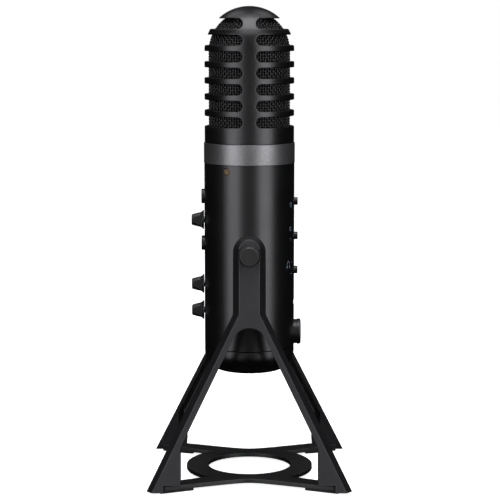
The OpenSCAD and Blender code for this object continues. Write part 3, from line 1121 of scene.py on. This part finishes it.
@dataclass
class FoamBell:
    """The open-cell foam inside the mesh, with its soft uneven surface. Millimetres."""

    radius: float = 24.55
    thick: float = 2.0
    foot_z: float = 217.5
    crown_z: float = 269.1
    relief: float = 0.12
    cell: float = 1.6
    steps: int = 144

    def section(self) -> list[tuple[float, float]]:
        """Draws the half section, up the outside to the crown and down the inside.

        Returns:
            Radius and height of each point.
        """
        rows = [self.foot_z + (self.crown_z - self.foot_z) * i / 34 for i in range(35)]
        turns = [math.pi / 2 * i / 22 for i in range(1, 22)]
        outer = [(self.radius, z) for z in rows]
        outer += [(self.radius * math.cos(a), self.crown_z + self.radius * math.sin(a)) for a in turns]
        hollow = self.radius - self.thick
        inner = [(hollow * math.cos(a), self.crown_z + hollow * math.sin(a)) for a in reversed(turns)]
        return outer + inner + [(hollow, z) for z in reversed(rows)]

    def build(self) -> None:
        obj = lathe("foam_bell", self.section(), self.steps)
        for vertex in obj.data.vertices:
            swing = noise.noise(vertex.co / (self.cell * MM))
            vertex.co -= vertex.normal * self.relief * MM * (0.5 + 0.5 * swing)
        settle(obj, FOAM, Body.MICROPHONE.value, ("foam_liner",))


@dataclass
class Head:
    """Everything above the trim band."""

    grille: HeadGrille
    basket: WovenBasket
    foam: FoamBell

    def build(self) -> None:
        """Builds the grille, the basket and what is inside."""
        self.grille.build()
        self.basket.build()
        self.foam.build()
        dress_node("capsule", BRASS)
        dress_node("capsule_mount", MOULDED)


# ---------------------------------------------------------------- housing


@dataclass
class BottomCup:
    """The rounded cup under the seam, turned as one smooth section. Millimetres."""

    radius: float = 28.5
    bottom_z: float = 67.1
    seam_z: float = 82.8
    groove: float = 0.35
    shoulder_w: float = 11.2
    shoulder_h: float = 12.5
    wall: float = 2.4
    hole_r: float = 10.05
    edge: float = 0.25
    spigot_inset: float = 2.25
    spigot_wall: float = 1.9
    spigot_rise: float = 0.6
    steps: int = 26

    def shoulder(self, depth: float, shares: Sequence[float]) -> list[tuple[float, float]]:
        """Draws the round shoulder.

        Args:
            depth: Depth under the outer surface.
            shares: Shares of the quarter turn, 0 at the wall and 1 at the bottom.

        Returns:
            Radius and height of each point.
        """
        foot_r = self.radius - depth - self.shoulder_w
        turns = [math.pi / 2 * share for share in shares]
        return [
            (foot_r + self.shoulder_w * math.cos(a), self.bottom_z + depth + self.shoulder_h * (1 - math.sin(a)))
            for a in turns
        ]

    def section(self) -> list[tuple[float, float]]:
        """Draws the cup's closed half section.

        Returns:
            Radius and height of each point.
        """
        top = self.seam_z - self.groove
        outer = [(self.radius - self.edge, top), (self.radius, top - self.edge)]
        shares = [i / self.steps for i in range(self.steps + 1)]
        outer += self.shoulder(0.0, shares)
        outer += [(self.hole_r + self.edge, self.bottom_z), (self.hole_r, self.bottom_z + self.edge)]
        inner = [(self.hole_r, self.bottom_z + self.wall)] + self.shoulder(self.wall, shares[::-1])
        spigot_r = self.radius - self.spigot_inset
        spigot_in, rim = spigot_r - self.spigot_wall, top + self.spigot_rise
        inner += [(spigot_in, top - 1.7), (spigot_in, rim), (spigot_r, rim), (spigot_r, top)]
        return outer + inner

    def build(self) -> None:
        """Turns the cup and replaces its CAD solid."""
        obj = lathe("cup_shell", self.section(), 160)
        shade_by_area(obj)
        settle(obj, SATIN_BODY, Body.MICROPHONE.value, ("bottom_cup",))


class Mark(Enum):
    """Shapes of the small printed signs."""

    DASH = "dash"
    TICK = "tick"
    LOOP = "loop"
    ARCH = "arch"


@dataclass
class PrintedSigns:
    """Small generic signs printed beside the controls and sockets. Millimetres and degrees."""

    tube_r: float = 28.5
    lift: float = 0.03
    stroke: float = 0.42
    dial_heights: tuple[float, ...] = (163.0, 121.9, 105.0)
    dial_r: float = 8.4
    dot: float = 0.5

    def strokes(self, mark: Mark, width: float, height: float) -> list[list[tuple[float, float]]]:
        """Centre lines of one sign.

        Args:
            mark: Shape of the sign.
            width: Width of the sign.
            height: Height of the sign.

        Returns:
            Lines of points, each across and up from the sign's middle.
        """
        half_w, half_h = width / 2, height / 2
        if mark is Mark.DASH:
            return [[(-half_w, 0.0), (half_w, 0.0)]]
        if mark is Mark.TICK:
            return [[(0.0, -half_h), (0.0, half_h)]]
        if mark is Mark.LOOP:
            turns = [math.tau * i / 20 for i in range(21)]
            return [[(half_w * math.cos(a), half_h * math.sin(a)) for a in turns]]
        turns = [math.pi * i / 14 for i in range(15)]
        arch = [(half_w * math.cos(a), half_h * (2 * math.sin(a) - 1)) for a in turns]
        cups = [[(s * half_w, -half_h * 1.0), (s * half_w, -half_h * 0.2)] for s in (-1, 1)]
        pads = [[(s * half_w * 0.7, -half_h * 0.95), (s * half_w * 0.7, -half_h * 0.25)] for s in (-1, 1)]
        return [arch] + cups + pads

    def add_sign(
        self, bm: bmesh.types.BMesh, mark: Mark, angle: float, z: float, width: float, height: float
    ) -> None:
        """Prints one sign.

        Args:
            bm: Mesh to add to.
            mark: Shape of the sign.
            angle: Place round the tube, from the front towards +X.
            z: Height of its middle.
            width: Width of the sign.
            height: Height of the sign.
        """
        outer_r, inner_r = self.tube_r + self.lift, self.tube_r - self.lift

        def place(across: float, up: float, radius: float) -> Vector:
            """Wraps a place of the sign round the tube.

            Args:
                across: Distance along the tube's surface.
                up: Distance upward.
                radius: Distance from the axis.

            Returns:
                The place, in metres.
            """
            turn = math.radians(angle) + across / self.tube_r
            return Vector((radius * math.sin(turn), -radius * math.cos(turn), z + up)) * MM

        for line in self.strokes(mark, width, height):
            sections = []
            for i, (across, up) in enumerate(line):
                ahead = line[min(i + 1, len(line) - 1)]
                behind = line[max(i - 1, 0)]
                way = Vector((ahead[0] - behind[0], ahead[1] - behind[1])).normalized()
                sx, sy = -way.y * self.stroke / 2, way.x * self.stroke / 2
                sections.append([
                    bm.verts.new(place(across + k * sx, up + k * sy, r))
                    for k, r in ((1, outer_r), (-1, outer_r), (-1, inner_r), (1, inner_r))
                ])
            join_rings(bm, sections)
            bm.faces.new(list(reversed(sections[0])))
            bm.faces.new(sections[-1])

    def build(self) -> None:
        """Prints every sign on the tube."""
        bm = bmesh.new()
        for mark, angle, z, width, height in (
            (Mark.LOOP, 66.0, 173.5, 2.4, 2.6),
            (Mark.LOOP, 65.0, 158.4, 2.2, 2.4),
            (Mark.TICK, 66.0, 151.6, 1.0, 2.0),
            (Mark.ARCH, 59.5, 135.7, 3.6, 4.9),
            (Mark.DASH, 70.0, 137.2, 1.4, 1.0),
            (Mark.DASH, 68.0, 129.9, 1.6, 1.0),
            (Mark.LOOP, -90.0, 195.4, 2.6, 2.2),
            (Mark.DASH, -78.0, 195.0, 1.8, 1.0),
            (Mark.DASH, -78.0, 190.5, 1.8, 1.0),
            (Mark.DASH, -78.0, 187.0, 1.8, 1.0),
        ):
            self.add_sign(bm, mark, angle, z, width, height)
        for z in self.dial_heights:
            for turn in range(-135, 136, 45):
                across = self.dial_r * math.sin(math.radians(turn))
                up = self.dial_r * math.cos(math.radians(turn))
                angle = -90.0 - math.degrees(across / self.tube_r)
                self.add_sign(bm, Mark.LOOP, angle, z + up, self.dot, self.dot)
        bmesh.ops.recalc_face_normals(bm, faces=bm.faces)
        settle(piece_from("printed_signs", bm), PRINT, Body.MICROPHONE.value)


@dataclass
class Housing:
    """Tube, band, cup and what is fixed in their walls."""

    cup: BottomCup
    signs: PrintedSigns

    def build(self) -> None:
        """Builds and dresses the housing."""
        Refined("housing_tube", "tube_shell", SATIN_BODY, 0.18).build()
        Refined("trim_band", "satin_band_ring", BAND_METAL, 0.2).build()
        self.cup.build()
        self.signs.build()
        Refined("stand_insert", "stand_thread_insert", BRASS, 0.15, 1).build()
        Refined("pivot_inserts", "pivot_flange_inserts", CLAMP, 0.15, 1).build()
        Refined("housing_screws", "bronze_housing_screws", BRONZE, 0.12, 1).build()


# ---------------------------------------------------------------- controls, sockets, clamps, stand


class Controls:
    """Knobs, buttons, their shafts and the status light."""

    def build(self) -> None:
        """Builds and dresses the controls."""
        for place in ("upper", "middle", "lower"):
            Refined(f"{place}_knob", f"{place}_knob_cap", KNOB, 0.12, 1, 35.0).build()
            dress_node(f"{place}_shaft", CHASSIS)
        for place in ("upper", "lower"):
            Refined(f"{place}_button", f"{place}_button_cap", BUTTON, 0.08, 1, 50.0).build()
        dress_node("status_light", LIGHT)


class Sockets:
    """The jacks and the USB inlet."""

    def build(self) -> None:
        """Builds and dresses the sockets."""
        for place in ("upper", "middle", "monitor"):
            Refined(f"{place}_jack", f"{place}_jack_collar", SOCKET, 0.25).build()
        Refined("instrument_jack", "instrument_jack_collar", SOCKET, 0.15, 2, 50.0).build()
        Refined("usb_socket", "usb_inlet_shell", USB_SHELL, 0.08, 1).build()


class Clamps:
    """The two knurled clamp knobs at the tilt axis."""

    def build(self) -> None:
        """Builds and dresses the clamp knobs."""
        for side in ("right", "left"):
            Refined(f"{side}_clamp_knob", f"{side}_clamp_grip", CLAMP, 0.12, 1, 35.0).build()


class Stand:
    """Base plate, arms, pads, screws and washers."""

    def build(self) -> None:
        """Builds and dresses the stand."""
        CutPlate("base_plate", "plate_ring_base", PLATE_PAINT).build()
        for side in ("right", "left"):
            Refined(f"{side}_arm", f"{side}_arm_casting", CAST_PAINT, 0.35, 3).build()
        Refined("foot_pads", "rubber_pads", PAD_RUBBER, 0.3).build()
        Refined("arm_screws", "plate_screws", STEEL_SCREW, 0.1, 1).build()
        Refined("tilt_washers", "friction_washers", WASHER_PLASTIC, 0.1, 1).build()


class Internals:
    """What the housing hides."""

    def build(self) -> None:
        """Dresses the inner solids."""
        for node, finish in (
            ("chassis", CHASSIS),
            ("main_board", BOARD),
            ("control_board", BOARD),
            ("potentiometers", MOULDED),
            ("tactile_switches", MOULDED),
        ):
            dress_node(node, finish)


# ---------------------------------------------------------------- studio


LAMP_COLOUR = (0.99, 0.98, 1.03)
AIM = Vector((0, 0, 0.16))


@dataclass
class SoftBox:
    """One upright soft box that faces the microphone. Metres, degrees and watts."""

    name: str
    azimuth: float
    distance: float
    height: float
    width: float
    tall: float
    power: float

    def build(self) -> None:
        """Hangs the light."""
        data = bpy.data.lights.new(self.name, "AREA")
        data.shape = "RECTANGLE"
        data.size = self.width
        data.size_y = self.tall
        data.energy = self.power
        data.color = LAMP_COLOUR
        lamp = bpy.data.objects.new(self.name, data)
        turn = math.radians(self.azimuth)
        lamp.location = (self.distance * math.sin(turn), -self.distance * math.cos(turn), self.height)
        lamp.rotation_euler = (AIM - lamp.location).to_track_quat("-Z", "Y").to_euler()
        lamp.visible_camera = False
        bpy.context.scene.collection.objects.link(lamp)


@dataclass
class Studio:
    """Camera, soft lights and a plain pale floor."""

    lens: float = 122.25
    camera_place: tuple[float, float, float] = (0.0004, -1.0718, 0.2848)
    camera_pitch: float = 82.487
    floor_half: float = 6.0
    floor_near: float = 0.12
    floor_far: float = 0.45
    floor_tone: float = 0.86
    ambient: float = 0.008

    def place_camera(self) -> None:
        """Makes the camera, at the front and a little above the middle."""
        data = bpy.data.cameras.new("front_camera")
        data.lens = self.lens
        data.clip_start = 0.05
        camera = bpy.data.objects.new("front_camera", data)
        camera.location = self.camera_place
        camera.rotation_euler = (math.radians(self.camera_pitch), 0, 0)
        bpy.context.scene.collection.objects.link(camera)
        bpy.context.scene.camera = camera

    def lay_floor(self) -> None:
        """Lays the pale floor, which neither lights the microphone nor shows in it."""
        bm = bmesh.new()
        corners = [(-1, -1), (1, -1), (1, 1), (-1, 1)]
        bm.faces.new([bm.verts.new((x * self.floor_half, y * self.floor_half, 0)) for x, y in corners])
        floor = piece_from("studio_floor", bm)
        material = bpy.data.materials.new("pale_floor")
        material.use_nodes = True
        lay = NodeLayout(material.node_tree)
        shader = material.node_tree.nodes["Principled BSDF"]
        place = lay.add("ShaderNodeTexCoord").outputs["Object"]
        tone = lay.noise(place, 3.0, 2.0, 0.5)
        lay.link(Finish.blend(lay, tone, shade(0.9), shade(0.93)), shader.inputs["Base Color"])
        reach = lay.add("ShaderNodeVectorMath", operation="LENGTH")
        lay.link(place, reach.inputs[0])
        far = lay.spread(reach.outputs["Value"], self.floor_near, self.floor_far, 0.0, 1.0)
        lay.link(Finish.blend(lay, far, shade(self.floor_tone), shade(1.0)), shader.inputs["Emission Color"])
        shader.inputs["Roughness"].default_value = 0.9
        shader.inputs["Specular IOR Level"].default_value = 0.1
        shader.inputs["Emission Strength"].default_value = 1.0
        floor.data.materials.append(material)
        floor.visible_glossy = False
        floor.visible_diffuse = False

    def light_world(self) -> None:
        """Shows a white backdrop to the camera, and only a dim even light to the microphone."""
        world = bpy.data.worlds.new("studio_world")
        bpy.context.scene.world = world
        world.use_nodes = True
        lay = NodeLayout(world.node_tree)
        world.node_tree.nodes.clear()
        seen = lay.add("ShaderNodeBackground")
        seen.inputs["Color"].default_value = shade(1.0)
        seen.inputs["Strength"].default_value = 1.0
        dim = lay.add("ShaderNodeBackground")
        dim.inputs["Color"].default_value = tint(0.95, 0.98, 1.0)
        dim.inputs["Strength"].default_value = self.ambient
        mix = lay.add("ShaderNodeMixShader")
        lay.link(lay.add("ShaderNodeLightPath").outputs["Is Camera Ray"], mix.inputs[0])
        lay.link(dim.outputs[0], mix.inputs[1])
        lay.link(seen.outputs[0], mix.inputs[2])
        lay.link(mix.outputs[0], lay.add("ShaderNodeOutputWorld").inputs[0])

    def build(self) -> None:
        """Sets up everything around the microphone."""
        bpy.context.scene.view_settings.view_transform = "Standard"
        self.place_camera()
        self.lay_floor()
        self.light_world()
        for box in (
            SoftBox("left_soft_box", -41.0, 1.3, 0.35, 0.86, 1.5, 14.2),
            SoftBox("right_soft_box", 40.5, 1.3, 0.35, 0.86, 1.5, 16.4),
            SoftBox("rear_left_box", -140.0, 0.8, 1.35, 0.7, 0.6, 1.6),
            SoftBox("rear_right_box", 140.0, 0.8, 1.35, 0.7, 0.6, 1.6),
            SoftBox("top_box", 0.0, 0.30, 1.4, 0.9, 0.93, 15.5),
            SoftBox("low_front_box", 0.0, 1.4, 0.05, 0.7, 0.3, 0.35),
        ):
            box.build()


def main() -> None:
    """Builds the studio, then every sub-assembly in order."""
    logging.basicConfig(level=logging.INFO, format="%(name)s: %(message)s")
    Studio().build()
    Stand().build()
    Housing(BottomCup(), PrintedSigns()).build()
    Head(HeadGrille(), WovenBasket(), FoamBell()).build()
    Controls().build()
    Sockets().build()
    Clamps().build()
    Internals().build()


if __name__ == "__main__":
    main()
